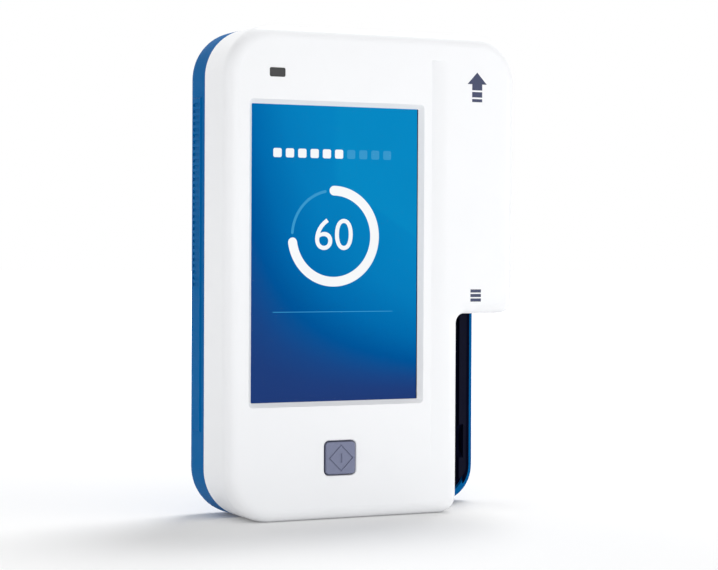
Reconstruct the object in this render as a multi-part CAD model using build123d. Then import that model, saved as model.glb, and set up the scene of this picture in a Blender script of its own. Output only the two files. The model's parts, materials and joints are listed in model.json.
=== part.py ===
from build123d import *
import math
import os

# Hand-held urine analyzer, millimetres, +Z up, standing upright with its screen facing -Y.
# The origin is at the middle of the base. "Depth" is counted from the front face towards the back.

# Case
case_width = 94.0
case_height = 142.0
case_depth = 31.0
shell_depth = 14.0
wall = 1.7
face_wall = 2.2
corner_left = 14.5
corner_top_right = 13.0
corner_bottom_right = 11.0
front_edge_round = 3.7
back_edge_round = 5.0
lip_height = 1.2
lip_thickness = 0.8
lip_clearance = 0.1
overlap = 0.1
overrun = 1.0
tolerance = 0.01

# Loading bay, cut out of the lower right
bay_width = 19.1
hood_height = 82.8
bay_floor_from_back = 4.0
bay_corner = 2.9
hood_corner = 4.2
cover_foot_corner = 5.2
mouth_from_back = 10.5

# Fading crease between the screen field and the hood
crease_from_bay = 9.8
crease_width = 5.2
crease_drop = 1.2
crease_bottom = 16.0
crease_from_top = 8.0
crease_edge = 0.25

# Grips on both sides of the rear shell
grip_proud = 0.35
grip_bottom = 25.0
grip_from_top = 20.0
grip_front_from_back = 11.4
grip_back_from_back = 5.0
grip_rib_pitch = 1.8
grip_rib_width = 0.9
grip_rib_above_bay = 6.8
grip_groove = 0.3
grip_root = 0.6
grip_border = 0.8

# Screen
screen_left_margin = 8.1
screen_right_margin = 3.8
screen_bottom_margin = 34.3
screen_top_margin = 22.5
window_bevel = 1.3
window_corner = 0.3
glass_recess = 1.6
glass_border = 2.0
glass_thickness = 1.1
glass_corner = 1.0
gasket_thickness = 0.5
gasket_inset = 0.5
cell_thickness = 1.4
cell_border = 1.6
cell_ledge = 6.6
frame_wall = 0.45
backlight_thickness = 1.6
cell_clearance = 0.05
part_clearance = 0.2
rib_thickness = 1.0
flex_thickness = 0.2
flex_half_width = 6.0
flex_slot_clearance = 0.5
flex_radius = 0.8
flex_tail_clearance = 1.0
flex_slot_below = 1.6
flex_socket_above = 6.0

# Power key
key_offset = 0.9
key_z = 17.9
key_opening = 10.1
key_corner = 1.5
key_rim_round = 0.4
key_gap = 0.4
key_proud = 0.5
key_round = 0.35
key_flange = 0.75
key_flange_thickness = 0.8
key_rest_gap = 0.1
key_travel = 0.8
key_mark_size = 8.0
key_mark_line = 0.8
key_mark_depth = 0.25
key_mark_bar = 2.6
stem_radius = 1.5
switch_size = 6.0
switch_corner = 0.4
switch_height = 2.4
plunger_radius = 1.7
plunger_clearance = 0.08
plunger_engagement = 0.6
plunger_length = 1.5

# Status light
status_from_left = 15.4
status_from_top = 13.5
status_width = 4.84
status_height = 2.55
status_corner = 0.5
status_recess = 0.15
status_flange = 0.8
status_flange_corner = 0.8
status_clearance = 0.05
status_flange_lap = 0.8
status_stem_inset = 0.4
status_stem_length = 2.4
status_stem_corner = 0.3
led_width = 2.0
led_length = 1.3
led_height = 0.8

# Main board
board_from_left = 4.5
board_from_bay = 6.4
board_bottom = 6.5
board_from_top = 7.5
board_thickness = 1.6
board_notch = 9.0
board_notch_depth = 5.4
pad_thickness = 0.5
pad_inset = 8.0
display_pad_height = 6.0
display_pad_corner = 0.5
boss_radius = 2.5
boss_low_z = 10.5
boss_from_top = 12.5
boss_low_from_left = 21.0
boss_low_from_bay = 21.9
boss_high_from_left = 25.0
boss_high_from_bay = 17.9

# Parts on the main board
processor_from_screen = -3.7
processor_below_battery_top = 28.0
processor_size = 14.0
processor_height = 1.2
chip_corner = 0.3
chip_edge = 0.2
memory_from_screen = (-7.7, 2.3)
memory_below_battery_top = 8.0
memory_width = 6.0
memory_length = 10.0
memory_height = 1.0
buzzer_radius = 4.5
buzzer_height = 3.2
buzzer_mouth = 0.8
buzzer_round = 0.4
clock_from_board_left = 12.5
clock_from_top = 34.0
clock_radius = 6.25
clock_height = 1.6
clock_round = 0.3
clock_base_radius = 5.2
clock_base_height = 0.5
socket_height = 1.3
socket_margin = 1.5
ribbon_thickness = 0.3
ribbon_half = 4.0
head_ribbon_from_board_right = 6.5
head_ribbon_from_top = 42.0
head_ribbon_run = 9.0
head_ribbon_lap = 2.0
motor_ribbon_half = 3.0
motor_ribbon_rise = 2.6

# Screws
small_shank = 0.9
small_head = 1.9
small_head_height = 1.3
optic_shank = 0.7
optic_head = 1.5
optic_head_height = 1.0
optic_screw_length = 3.4
hole_clearance = 0.1
board_screw_length = 3.6
plate_screw_length = 5.0
case_shank = 1.1
case_head = 2.3
case_head_height = 1.8
case_head_clearance = 0.4
case_screw_length = 12.0
case_seat_from_back = 7.0
case_boss_radius = 3.3
case_screw_from_left = 8.5
case_screw_low_z = 10.5
case_screw_from_top = 10.5
case_screw_low_from_bay = 5.4
case_screw_high_from_bay = 4.9
case_screw_high_from_top = 8.0

# Connector at the top
usb_from_screen = 0.3
usb_width = 8.94
usb_height = 3.26
usb_length = 7.3
usb_wall = 0.3
usb_recess = 0.3
usb_gap = 0.25
usb_back_wall = 1.0
usb_tongue = 0.7
usb_tongue_inset = 1.5

# Battery
battery_from_left = 7.5
battery_from_bay = 22.4
battery_bottom = 24.0
battery_from_top = 54.0
battery_thickness = 11.0
battery_clearance = 0.3
battery_round = 2.0
well_wall = 1.5
door_thickness = 1.8
door_ledge = 1.5
door_gap = 0.2
door_tab_width = 7.0
door_tab_length = 2.2
door_tab_thickness = 0.9
door_tab_room = 4.0
door_snap_width = 9.0
door_snap_wall = 1.0
door_snap_reach = 2.6
door_snap_hook = 0.25
door_snap_hook_thickness = 0.8
door_snap_gap = 0.3
door_grip_depth = 0.9
door_corner = 0.6
door_ridges = 5
door_ridge_pitch = 2.0
door_ridge_half = 8.0
door_ridge_depth = 0.3
contact_pitch = 5.0
contact_width = 2.2
contact_thickness = 0.4
contact_gap = 0.02
contact_tip_depth = 3.7
contact_slot_depth = 1.0
contact_slot_length = 5.0
contact_window_low = 0.5
contact_block_height = 3.0

# Strip tray
tray_from_bay = 3.5
tray_width = 11.2
tray_bottom = 7.0
tray_above_bay = 22.8
tray_front_from_back = 8.4
tray_back_from_back = 3.65
tray_end_round = 4.0
runner_thickness = 1.0
runner_right = 1.4
strip_groove_width = 5.8
strip_groove_depth = 1.4
strip_from_bay = 9.3
pad_length = 6.0
pad_from_end = 2.0
pad_thick = 0.8
pad_clearance = 0.05
pad_spacing = 1.0
scoop_radius = 6.0
scoop_height = 12.0
scoop_lift = 3.0
scoop_wall = 1.2
drain_slots = 4
drain_length = 6.0
drain_width = 1.6
drain_first = 23.0
drain_last = 3.0

# Bay liner
liner_floor_from_back = 3.35
liner_from_bay = 0.45
liner_width = 16.85
liner_bottom = 1.8
liner_from_top = 4.0
rail_thickness = 0.95
rail_from_back = 5.5
rail_lip = 0.95
rail_lip_thickness = 0.6
rail_overlap = 0.5
liner_clearance = 0.1

# Tray drive
pressure_angle = 20.0
rack_module = 0.8
tooth_root_share = 1.25
pinion_teeth = 12
rack_addendum = 0.55
rack_overlap = 0.3
rack_depth = 2.6
gear_module = 0.5
gear_teeth = 30
motor_teeth = 12
gear_addendum = 0.4
tooth_backlash = 0.12
gear_above_bay = 10.8
gear_pin_radius = 1.0
running_clearance = 0.04
gear_gap = 0.3
gear_face = 1.8
pinion_face = 2.8
gear_hub = 0.6
gear_hub_radius = 3.6
gear_dish_inner = 4.4
gear_dish_outer = 6.0
gear_dish_depth = 0.5
gear_pin_head = 1.6
gear_pin_head_height = 0.4
gear_pin_hold = 1.6
motor_angle = 150.0
motor_radius = 7.5
motor_round = 0.6
motor_gap = 1.8
motor_shaft_radius = 0.75
motor_boss_radius = 3.0
motor_boss_clearance = 0.05
motor_ear = 10.4
motor_ear_thickness = 0.8
motor_ear_width = 5.0
motor_end_wall = 1.5
terminal_width = 8.0
terminal_height = 2.2
terminal_root = 1.5
terminal_thickness = 2.5
shaft_clearance = 0.05

# Drive plate
plate_from_back = 12.4
plate_thickness = 1.0
plate_from_bay = 19.7
plate_above_bay = 2.8
plate_from_top = 14.0
arm_from_bay = 0.3
arm_length = 16.8
arm_above_bay = 14.3
arm_from_top = 18.0
plate_corner = 1.5
plate_slot_from_bay = 10.4
plate_slot_from_top = 34.0
plate_slot_length = 18.0
plate_slot_width = 8.0
post_radius = 2.5
post_low_from_bay = 16.7
post_low_above_bay = 5.6
post_side_from_bay = (16.4, 3.9)
post_side_above_bay = (32.8, 31.8)
post_high_from_bay = 13.9
post_high_from_top = 18.0

# Optical head
head_from_strip = 0.7
head_from_top = 37.0
head_width = 11.0
head_height = 26.0
head_corner = 0.8
head_before_plate = 5.8
head_behind_plate = 2.3
head_ear = 4.0
head_ear_corner = 1.5
head_ear_inset = 1.0
head_ear_thickness = 1.2
head_clearance = 0.2
head_window_width = 8.0
head_window_height = 20.0
head_window_corner = 0.4
head_window_thickness = 0.8
head_window_clearance = 0.05
head_pilot = 3.0
light_bore = 2.2
light_tilt = 35.0
optic_board_thickness = 1.2
optic_board_margin_x = 0.8
optic_board_margin_z = 2.0
optic_board_corner = 0.5
optic_screw_inset = 2.2
source_size = 2.4
source_height = 0.9
detector_size = 2.0
detector_height = 0.7
sensor_width = 3.4
sensor_length = 2.8
sensor_height = 1.5

# Feet and sound holes
foot_radius = 4.5
foot_proud = 0.8
foot_recess = 0.7
foot_clearance = 0.1
foot_round = 0.4
foot_from_left = 23.0
foot_from_bay = 9.1
foot_from_end = 11.5
foot_right_low_z = 14.5
foot_right_from_top = 15.0
sound_hole = 0.7
sound_pitch = 2.6
sound_from_board_right = 21.5
sound_from_top = 30.0
sound_count = 5

# Places across the case that follow from the sizes above
half_width = case_width / 2
bay_x = half_width - bay_width
crease_x = bay_x - crease_from_bay
window_left = -half_width + screen_left_margin
window_width = crease_x - screen_right_margin - window_left
screen_x = window_left + window_width / 2
glass_width = window_width + 2 * glass_border
cell_width = window_width + 2 * cell_border
frame_width = cell_width + 2 * (frame_wall + cell_clearance)
tail_gap_half = flex_half_width + flex_tail_clearance
key_x = screen_x + key_offset
usb_x = screen_x + usb_from_screen
status_x = -half_width + status_from_left
board_left = -half_width + board_from_left
board_right = bay_x - board_from_bay
battery_left = -half_width + battery_from_left
battery_width = bay_x - battery_from_bay - battery_left
battery_middle_x = battery_left + battery_width / 2
door_width = battery_width + 2 * door_ledge
head_ribbon_x = board_right - head_ribbon_from_board_right
head_ribbon_bend = head_ribbon_x + head_ribbon_run
sound_x = board_right - sound_from_board_right
tray_left = bay_x + tray_from_bay
tray_right = tray_left + tray_width
strip_x = bay_x + strip_from_bay
head_x = strip_x + head_from_strip
liner_left = bay_x + liner_from_bay
liner_right = liner_left + liner_width
plate_left = bay_x - plate_from_bay
arm_left = bay_x - arm_from_bay
arm_right = arm_left + arm_length
rack_pitch_x = tray_left - tooth_root_share * rack_module
gear_x = rack_pitch_x - rack_module * pinion_teeth / 2

# Heights that follow
bay_height = case_height - hood_height
window_height = case_height - screen_bottom_margin - screen_top_margin
screen_z = screen_bottom_margin + window_height / 2
glass_height = window_height + 2 * glass_border
cell_top = screen_z + window_height / 2 + cell_border
cell_bottom = screen_z - window_height / 2 - cell_ledge
cell_middle_z = (cell_top + cell_bottom) / 2
frame_height = cell_top - cell_bottom + 2 * (frame_wall + cell_clearance)
flex_slot_z = cell_bottom - flex_slot_below
flex_socket_z = cell_bottom + flex_socket_above
crease_top = case_height - crease_from_top
grip_top = case_height - grip_from_top
grip_rib_bottom = bay_height + grip_rib_above_bay
status_z = case_height - status_from_top
board_top = case_height - board_from_top
battery_top = case_height - battery_from_top
battery_height = battery_top - battery_bottom
battery_middle_z = battery_bottom + battery_height / 2
door_height = battery_height + 2 * door_ledge
door_top = battery_middle_z + door_height / 2
door_bottom = door_top - door_height
door_hinge_z = door_top - door_thickness / 2
head_ribbon_z = case_height - head_ribbon_from_top
sound_z = case_height - sound_from_top
tray_top = bay_height + tray_above_bay
tray_length = tray_top - tray_bottom
pad_top = tray_top - pad_from_end
liner_top = case_height - liner_from_top
gear_z = bay_height + gear_above_bay
plate_bottom = bay_height + plate_above_bay
plate_top = case_height - plate_from_top
arm_bottom = bay_height + arm_above_bay
arm_top = case_height - arm_from_top
head_z = case_height - head_from_top
centre_distance = gear_module * (gear_teeth + motor_teeth) / 2
motor_x = gear_x + centre_distance * math.cos(math.radians(motor_angle))
motor_z = gear_z + centre_distance * math.sin(math.radians(motor_angle))
terminal_top = motor_z + motor_radius + terminal_height

# Depths that follow
front_y = key_proud - (key_proud + case_depth + foot_proud) / 2
cover_depth = case_depth - shell_depth
gasket_depth = glass_recess + glass_thickness
cell_depth = gasket_depth + gasket_thickness
frame_back_depth = cell_depth + cell_thickness + backlight_thickness
board_depth = frame_back_depth + pad_thickness
board_back = board_depth + board_thickness
socket_top = board_back + socket_height
stem_end_depth = board_depth - switch_height + plunger_engagement - plunger_length
bay_floor_depth = case_depth - bay_floor_from_back
back_inner_depth = case_depth - wall
mouth_depth = case_depth - mouth_from_back
grip_front_depth = case_depth - grip_front_from_back
grip_back_depth = case_depth - grip_back_from_back
case_seat_depth = case_depth - case_seat_from_back
door_inner_depth = case_depth - door_thickness
door_hinge_depth = case_depth - door_thickness / 2
battery_floor_depth = door_inner_depth - battery_thickness - battery_clearance
liner_floor_depth = case_depth - liner_floor_from_back
rail_depth = case_depth - rail_from_back
tray_front_depth = case_depth - tray_front_from_back
tray_back_depth = case_depth - tray_back_from_back
plate_depth = case_depth - plate_from_back
plate_back = plate_depth + plate_thickness
gear_depth = plate_back + gear_gap
pinion_depth = gear_depth + gear_face + gear_hub
pin_boss_depth = pinion_depth + pinion_face + gear_gap
motor_front_depth = board_back + motor_gap
terminal_near = motor_front_depth + motor_end_wall
head_front_depth = plate_depth - head_before_plate
head_back_depth = plate_back + head_behind_plate
optic_board_depth = head_front_depth - optic_board_thickness
window_seat_depth = head_back_depth - head_window_thickness

# Places of the screws, posts, feet and chips as (x, z)
board_boss_places = [
    (-half_width + boss_low_from_left, boss_low_z),
    (bay_x - boss_low_from_bay, boss_low_z),
    (-half_width + boss_high_from_left, case_height - boss_from_top),
    (bay_x - boss_high_from_bay, case_height - boss_from_top),
]
case_screw_places = [
    (-half_width + case_screw_from_left, case_screw_low_z),
    (-half_width + case_screw_from_left, case_height - case_screw_from_top),
    (bay_x - case_screw_low_from_bay, case_screw_low_z),
    (bay_x - case_screw_high_from_bay, case_height - case_screw_high_from_top),
]
post_places = [
    (bay_x - post_low_from_bay, bay_height + post_low_above_bay),
    (bay_x - post_side_from_bay[0], bay_height + post_side_above_bay[0]),
    (bay_x - post_side_from_bay[1], bay_height + post_side_above_bay[1]),
    (bay_x - post_high_from_bay, case_height - post_high_from_top),
]
foot_places = [
    (-half_width + foot_from_left, foot_from_end),
    (bay_x + foot_from_bay, foot_right_low_z),
    (-half_width + foot_from_left, case_height - foot_from_end),
    (bay_x + foot_from_bay, case_height - foot_right_from_top),
]
plate_slot_place = (bay_x - plate_slot_from_bay, case_height - plate_slot_from_top)
processor_place = (screen_x + processor_from_screen, battery_top - processor_below_battery_top)
memory_places = [
    (screen_x + offset, battery_top - memory_below_battery_top) for offset in memory_from_screen
]
clock_place = (board_left + clock_from_board_left, case_height - clock_from_top)


def depth(value):
    """The Y of a depth behind the front face."""
    return front_y + value


def facing(value):
    """A plane across the case at a depth; its own x and y run along X and Z."""
    return Plane(origin=(0, depth(value), 0), x_dir=(1, 0, 0), z_dir=(0, -1, 0))


def slab(sketch, near, far):
    """A flat outline in X and Z, filled between two depths."""
    return extrude(facing(far) * sketch, amount=far - near)


def block(x_span, depth_span, z_span):
    """A straight block between two X, two depths and two Z."""
    middle = [sum(x_span) / 2, depth(sum(depth_span) / 2), sum(z_span) / 2]
    size = [abs(span[1] - span[0]) for span in (x_span, depth_span, z_span)]
    return Pos(*middle) * Box(*size)


def post(place, radius, near, far):
    """A round post along the depth at an (x, z) place."""
    return slab(Pos(place[0], place[1]) * Circle(radius), near, far)


def panel(middle, width, height, radius, near, far):
    """A rectangle with rounded corners, filled between two depths."""
    return slab(Pos(*middle) * RectangleRounded(width, height, radius), near, far)


def group(solids):
    """Separate like pieces kept in one node."""
    return Compound(children=[solid.solid() for solid in solids])


# Outlines of the case

def full_outline(inset):
    """The whole case from the front, moved inwards by the inset."""
    right = half_width - inset
    top = case_height - inset
    corners = [(-right, inset), (right, inset), (right, top), (-right, top)]
    radii = [corner_left, corner_bottom_right, corner_top_right, corner_left]
    return make_face(FilletPolyline(*corners, radius=[r - inset for r in radii], close=True))


def notched_outline(inset):
    """The case with the loading bay cut out, moved inwards by the inset."""
    right = half_width - inset
    top = case_height - inset
    step_x = bay_x - inset
    step_z = bay_height + inset
    corners = [
        (-right, inset),
        (step_x, inset),
        (step_x, step_z),
        (right, step_z),
        (right, top),
        (-right, top),
    ]
    radii = [
        corner_left - inset,
        cover_foot_corner - inset,
        bay_corner + inset,
        hood_corner - inset,
        corner_top_right - inset,
        corner_left - inset,
    ]
    return make_face(FilletPolyline(*corners, radius=radii, close=True))


def edges_at(solid, value):
    """The edges that lie wholly at one depth."""
    return solid.edges().filter_by_position(Axis.Y, depth(value) - tolerance, depth(value) + tolerance)


# Gears

def involute_half_angle(radius, pitch_radius, teeth):
    """Half the angle that a tooth covers at a radius."""
    slope = math.radians(pressure_angle)
    base = pitch_radius * math.cos(slope)
    local = math.acos(min(1.0, base / max(radius, base)))
    pitch_half = math.pi / (2 * teeth) - tooth_backlash / (4 * pitch_radius)
    return pitch_half + (math.tan(slope) - slope) - (math.tan(local) - local)


def gear_face_outline(teeth, module, addendum, middle, first_tooth):
    """A spur gear's outline in X and Z with one tooth at the given angle."""
    pitch_radius = teeth * module / 2
    base = pitch_radius * math.cos(math.radians(pressure_angle))
    outer = pitch_radius + addendum
    root = pitch_radius - tooth_root_share * module
    start = max(root, base)

    def point(radius, angle):
        return (middle[0] + radius * math.cos(angle), middle[1] + radius * math.sin(angle))

    radii = [start, (start + outer) / 2, outer]
    halves = [involute_half_angle(r, pitch_radius, teeth) for r in radii]
    edges = []
    for index in range(teeth):
        angle = math.radians(first_tooth) + 2 * math.pi * index / teeth
        following = angle + 2 * math.pi / teeth
        lower = [point(r, angle - h) for r, h in zip(radii, halves)]
        upper = [point(r, angle + h) for r, h in zip(radii, halves)]
        root_low = point(root, angle - halves[0])
        root_high = point(root, angle + halves[0])
        root_next = point(root, following - halves[0])
        if start > root:
            edges.append(Line(root_low, lower[0]))
            edges.append(Line(upper[0], root_high))
        edges.append(ThreePointArc(*lower))
        edges.append(Line(lower[2], upper[2]))
        edges.append(ThreePointArc(*reversed(upper)))
        edges.append(Line(root_high if start > root else upper[0], root_next))
    return make_face(edges)


def rack_teeth():
    """The tray's row of teeth, in mesh with the pinion at rest."""
    pitch = math.pi * rack_module
    slope = math.tan(math.radians(pressure_angle))
    root_x = rack_pitch_x + tooth_root_share * rack_module
    tip_x = rack_pitch_x - rack_addendum
    pitch_half = pitch / 4 - tooth_backlash / 4
    root_half = pitch_half + slope * (root_x - rack_pitch_x)
    tip_half = pitch_half - slope * rack_addendum
    low = tray_bottom + tray_end_round + pitch / 2
    high = tray_bottom + tray_length - tray_end_round - pitch / 2
    first = math.ceil((low - gear_z) / pitch)
    last = math.floor((high - gear_z) / pitch)
    teeth = []
    for index in range(first, last + 1):
        z = gear_z + index * pitch
        outline = Polyline(
            (root_x + rack_overlap, z - root_half),
            (root_x, z - root_half),
            (tip_x, z - tip_half),
            (tip_x, z + tip_half),
            (root_x, z + root_half),
            (root_x + rack_overlap, z + root_half),
            close=True,
        )
        teeth.append(slab(make_face(outline), tray_front_depth, tray_front_depth + rack_depth))
    return teeth


# Screws

def screw(place, head_depth, reach, shank, head, head_height, towards_back):
    """A pan head screw along the depth, its head's underside at a depth."""
    sign = 1 if towards_back else -1
    head_span = sorted([head_depth, head_depth - sign * head_height])
    shank_span = sorted([head_depth - sign * head_height * 0.4, head_depth + sign * reach])
    head_solid = post(place, head, *head_span)
    outer = edges_at(head_solid, head_depth - sign * head_height)
    head_solid = fillet(outer, head_height * 0.4)
    recess_span = sorted([head_depth - sign * head_height, head_depth - sign * head_height * 0.5])
    drive = post(place, head * 0.45, *recess_span)
    return head_solid - drive + post(place, shank, *shank_span)


# Front cover

def crease_cutter():
    """A groove with a steep left wall and a soft right slope, fading to nothing lower down."""
    sections = []
    for z, drop in ((crease_bottom, 0.02), (crease_top, crease_drop)):
        plane = Plane(origin=(crease_x, depth(0), z), x_dir=(1, 0, 0), z_dir=(0, 0, 1))
        outline = [
            Line((0, -1), (0, 0)),
            Line((0, 0), (crease_edge, drop)),
            Spline(
                (crease_edge, drop),
                (crease_width, 0),
                tangents=[(1, -2.2 * drop / crease_width), (1, 0)],
            ),
            Line((crease_width, 0), (crease_width, -1)),
            Line((crease_width, -1), (0, -1)),
        ]
        sections.append(plane * make_face(outline))
    return loft(sections, ruled=True)


def window_cutter():
    """The screen window with its bevel, and the seat of the glass behind it."""
    middle = Pos(screen_x, screen_z)
    wide = middle * RectangleRounded(
        window_width + 2 * window_bevel, window_height + 2 * window_bevel, window_bevel
    )
    narrow = middle * RectangleRounded(window_width, window_height, window_corner)
    bevel = loft([facing(-tolerance) * wide, facing(glass_recess) * narrow], ruled=True)
    through = slab(narrow, glass_recess - overlap, face_wall + overlap)
    seat = slab(
        middle * Rectangle(glass_width + part_clearance, glass_height + part_clearance),
        glass_recess,
        face_wall + overlap,
    )
    return bevel + through + seat


def display_rib_ring():
    """The low rib that keeps the display in place behind the window, open below for its tail."""
    inner_width = frame_width + 2 * part_clearance
    inner_height = frame_height + 2 * part_clearance
    middle = Pos(screen_x, cell_middle_z)
    ring = middle * Rectangle(inner_width + 2 * rib_thickness, inner_height + 2 * rib_thickness)
    ring -= middle * Rectangle(inner_width, inner_height)
    ring -= Pos(screen_x, cell_bottom) * Rectangle(2 * tail_gap_half, 4 * rib_thickness + 1)
    return slab(ring, face_wall, frame_back_depth - part_clearance)


def make_front_cover():
    outer = slab(notched_outline(0), 0, cover_depth)
    outer = fillet(edges_at(outer, 0), front_edge_round)
    inner = slab(notched_outline(wall), face_wall, cover_depth)
    inner = fillet(edges_at(inner, face_wall), front_edge_round - wall)
    cover = outer - inner
    cover += [post(place, boss_radius, face_wall, board_depth) for place in board_boss_places]
    cover += [post(place, case_boss_radius, face_wall, cover_depth) for place in case_screw_places]
    cover += display_rib_ring()
    lip_space = notched_outline(wall - lip_thickness - lip_clearance) - notched_outline(wall)
    cover -= slab(lip_space, cover_depth - lip_height - lip_clearance, cover_depth)
    cover -= crease_cutter()
    cover -= window_cutter()
    opening = panel((key_x, key_z), key_opening, key_opening, key_corner, -1, face_wall + 1)
    cover -= opening
    rim = [
        edge
        for edge in edges_at(cover, 0)
        if abs(edge.center().X - key_x) < key_opening * 0.6
        and abs(edge.center().Z - key_z) < key_opening * 0.6
    ]
    cover = fillet(rim, key_rim_round)
    slot_width = status_width + 2 * status_clearance
    slot_height = status_height + 2 * status_clearance
    cover -= panel((status_x, status_z), slot_width, slot_height, status_corner, -overrun, face_wall + overrun)
    pilot = board_depth - board_screw_length
    cover -= [post(place, small_shank, pilot, board_depth) for place in board_boss_places]
    reach = case_seat_depth - case_screw_length
    cover -= [post(place, case_shank, reach, cover_depth) for place in case_screw_places]
    cover -= usb_opening()
    return cover


def usb_opening():
    """The slot in the top wall that a plug goes through."""
    width = usb_width + 2 * usb_gap
    height = usb_height + 2 * usb_gap
    plane = Plane(origin=(usb_x, depth(board_back + usb_height / 2), case_height - wall - 1))
    return extrude(plane * RectangleRounded(width, height, height * 0.49), amount=wall + 2 * overrun)


# Rear shell

def cavity(inset):
    """The room inside the rear shell, without the bay's wall."""
    room = slab(full_outline(inset), cover_depth - lip_height - 1, case_depth - inset)
    return fillet(edges_at(room, case_depth - inset), back_edge_round - inset)


def grip(side):
    """One raised side grip, cut by fine grooves over its upper part."""
    inner = side * (half_width - grip_root)
    outer = side * (half_width + grip_proud)
    low = grip_bottom if side < 0 else bay_height + 2 * grip_rib_pitch
    pad = block(sorted([inner, outer]), [grip_front_depth, grip_back_depth], [low, grip_top])
    ends = pad.edges().filter_by_position(Axis.X, outer - tolerance, outer + tolerance)
    pad = chamfer(ends, grip_proud * 0.9)
    start = max(low, grip_rib_bottom) + grip_rib_pitch
    count = int((grip_top - start) / grip_rib_pitch)
    face = side * (half_width + grip_proud - grip_groove)
    groove_span = sorted([face, outer + side])
    half = (grip_rib_pitch - grip_rib_width) / 2
    depth_span = [grip_front_depth + grip_border, grip_back_depth - grip_border]
    grooves = []
    for index in range(count):
        z = start + index * grip_rib_pitch
        grooves.append(block(groove_span, depth_span, [z - half, z + half]))
    return pad - grooves


def battery_well():
    """The walls and floor round the battery and the rim round its door, before hollowing."""
    middle = (battery_middle_x, battery_middle_z)
    far = case_depth - wall / 2
    width = battery_width + 2 * well_wall
    height = battery_height + 2 * well_wall
    well = panel(middle, width, height, well_wall, battery_floor_depth - well_wall, far)
    width = door_width + 2 * (door_gap + well_wall)
    height = door_height + 2 * (door_gap + well_wall)
    return well + panel(middle, width, height, well_wall, door_inner_depth - well_wall, far)


def door_recess():
    """The battery's room, the door's seat, and the slots for its tabs and snap."""
    middle = (battery_middle_x, battery_middle_z)
    room = panel(
        middle, battery_width, battery_height, battery_clearance, battery_floor_depth, case_depth
    )
    seat = panel(
        middle, door_width + 2 * door_gap, door_height + 2 * door_gap, door_corner + door_gap,
        door_inner_depth, case_depth + 1
    )
    cuts = [room, seat]
    half = door_tab_width / 2 + door_gap
    for tab_x in door_tab_places():
        cuts.append(
            block(
                [tab_x - half, tab_x + half],
                [door_inner_depth - door_tab_room, door_inner_depth + door_gap],
                [door_top - door_ledge - 1, door_top + door_tab_length + 3 * door_gap],
            )
        )
    half = door_snap_width / 2 + door_snap_gap
    room_low = door_bottom - door_snap_hook - door_snap_gap - 2 * door_gap
    cuts.append(
        block(
            [battery_middle_x - half, battery_middle_x + half],
            [door_inner_depth - door_snap_reach - door_snap_hook_thickness, door_inner_depth + overlap],
            [room_low, door_bottom + door_ledge + overlap],
        )
    )
    notch = Pos(battery_middle_x, door_bottom - door_gap) * Circle(door_snap_width / 2)
    cuts.append(slab(notch, case_depth - door_grip_depth, case_depth + 1))
    return cuts


def door_tab_places():
    """The X of the two tabs along the door's top edge."""
    reach = door_width / 2 - door_tab_width
    return [battery_middle_x - reach, battery_middle_x + reach]


def contact_places():
    """The X of the three battery contacts."""
    return [battery_middle_x + step * contact_pitch for step in (-1, 0, 1)]


def make_rear_shell():
    outer = slab(full_outline(0), cover_depth, case_depth)
    outer = fillet(edges_at(outer, case_depth), back_edge_round)
    outer += [grip(-1), grip(1)]
    inner = cavity(wall)
    outer -= block([bay_x, half_width + 1], [0, bay_floor_depth], [-1, bay_height])
    bay_room = block(
        [bay_x, half_width], [bay_floor_depth - 1, case_depth], [0, bay_height]
    )
    upper_room = slab(notched_outline(wall), 0, case_depth)
    shell = outer - (inner & upper_room) - (inner & bay_room)
    lip = notched_outline(wall - lip_thickness) - notched_outline(wall + lip_thickness * 0.5)
    lip_ring = slab(lip, cover_depth - lip_height, cover_depth + overrun)
    shell += lip_ring - slab(notched_outline(wall), 0, cover_depth - lip_height - tolerance)
    shell += battery_well()
    shell += [post(place, post_radius, plate_back, case_depth - 1) for place in post_places]
    for place in case_screw_places:
        shell += post(place, case_boss_radius, cover_depth, case_depth - 1)
    shell += post((gear_x, gear_z), post_radius, pin_boss_depth, case_depth - 1)
    shell -= door_recess()
    shell -= block(
        [liner_left - liner_clearance, liner_right + liner_clearance],
        [mouth_depth, back_inner_depth],
        [bay_height - 1, bay_height + hood_corner],
    )
    for place in case_screw_places:
        shell -= post(place, case_head + case_head_clearance, case_seat_depth, case_depth + 1)
        shell -= post(place, case_shank + 2 * hole_clearance, cover_depth - 2, case_seat_depth)
    pilot = plate_back + plate_screw_length
    shell -= [post(place, small_shank, plate_back, pilot) for place in post_places]
    pin_end = pin_boss_depth + gear_pin_hold + 2 * part_clearance
    shell -= post((gear_x, gear_z), gear_pin_radius, pin_boss_depth - 1, pin_end)
    for place in foot_places:
        shell -= post(place, foot_radius + foot_clearance, case_depth - foot_recess, case_depth + 1)
    shell -= sound_holes()
    shell -= contact_slot()
    return shell


def sound_holes():
    """A short row of holes behind the buzzer."""
    first = sound_x - sound_pitch * (sound_count - 1) / 2
    places = [(first + sound_pitch * index, sound_z) for index in range(sound_count)]
    return [post(place, sound_hole, case_depth - wall - 1, case_depth + 1) for place in places]


def contact_slot():
    """The opening in the battery well's top wall for the contacts."""
    half = contact_pitch + contact_width / 2 + 2 * part_clearance
    near = battery_floor_depth + contact_slot_depth
    return block(
        [battery_middle_x - half, battery_middle_x + half],
        [near, near + contact_slot_length],
        [battery_top - contact_window_low, battery_top + well_wall + overlap],
    )


# Bay liner

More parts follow.
